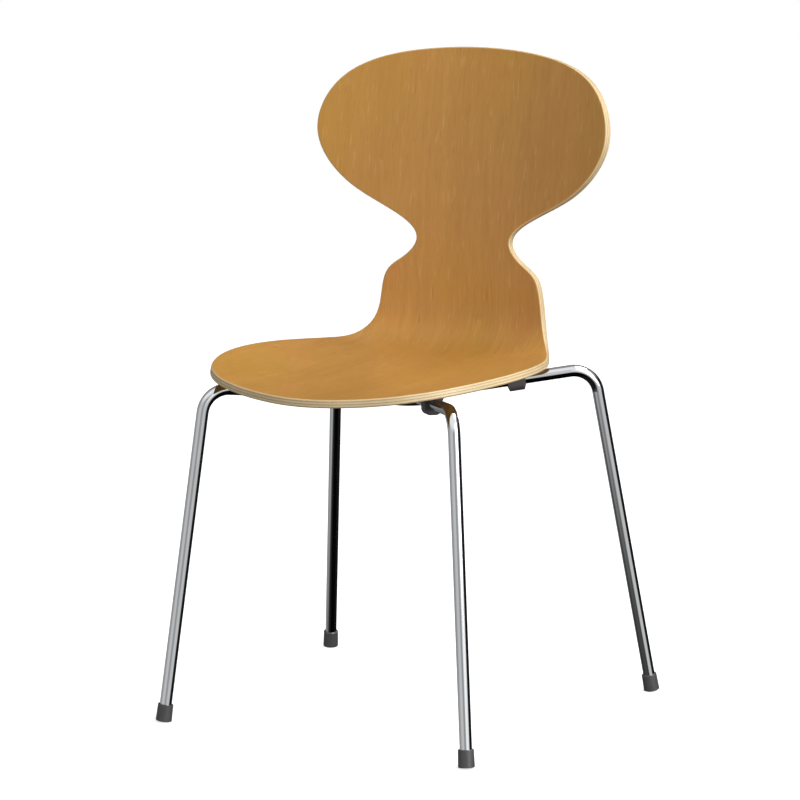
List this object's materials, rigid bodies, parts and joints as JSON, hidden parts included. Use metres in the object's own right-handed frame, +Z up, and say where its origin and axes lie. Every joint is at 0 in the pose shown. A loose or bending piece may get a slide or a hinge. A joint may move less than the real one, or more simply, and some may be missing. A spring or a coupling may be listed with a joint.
{
  "type": "stacking chair",
  "caption": "Stacking chair: one moulded plywood shell with a rounded head, a notched waist and a dished seat, on bent chromed tube legs with spacer clips and foot caps.",
  "frame": {"origin": "on the floor, midway between the chair's two sides and midway between its frontmost and rearmost points", "axes": "+X to the sitter's left, +Y towards the back of the chair, +Z up; the sitter faces -Y"},
  "size_m": [0.4726, 0.4556, 0.7704],
  "materials": {
    "oak_veneer": "satin lacquer",
    "birch_plies": "sealed ply edge",
    "chromed_tube": "bright chrome",
    "foot_plastic": "moulded, fine texture",
    "clip_plastic": "moulded, satin",
    "cover_plastic": "moulded, fine texture",
    "plate_steel": "black powder coat",
    "pad_rubber": "matt",
    "zinc_steel": "zinc plated"
  },
  "bodies": {
    "root": {"shell_front_veneer": "oak_veneer", "shell_core": "birch_plies", "shell_back_veneer": "oak_veneer", "front_leg_tube": "chromed_tube", "rear_leg_tube": "chromed_tube", "front_left_foot": "foot_plastic", "front_right_foot": "foot_plastic", "rear_left_foot": "foot_plastic", "rear_right_foot": "foot_plastic", "front_left_clip": "clip_plastic", "front_right_clip": "clip_plastic", "rear_left_clip": "clip_plastic", "rear_right_clip": "clip_plastic", "mounting_plate": "plate_steel", "hub_pad": "pad_rubber", "hub_cover": "cover_plastic", "shell_inserts": "zinc_steel", "shell_screws": "zinc_steel", "screw_washers": "zinc_steel", "cover_screw": "zinc_steel"}
  },
  "joints": []
}
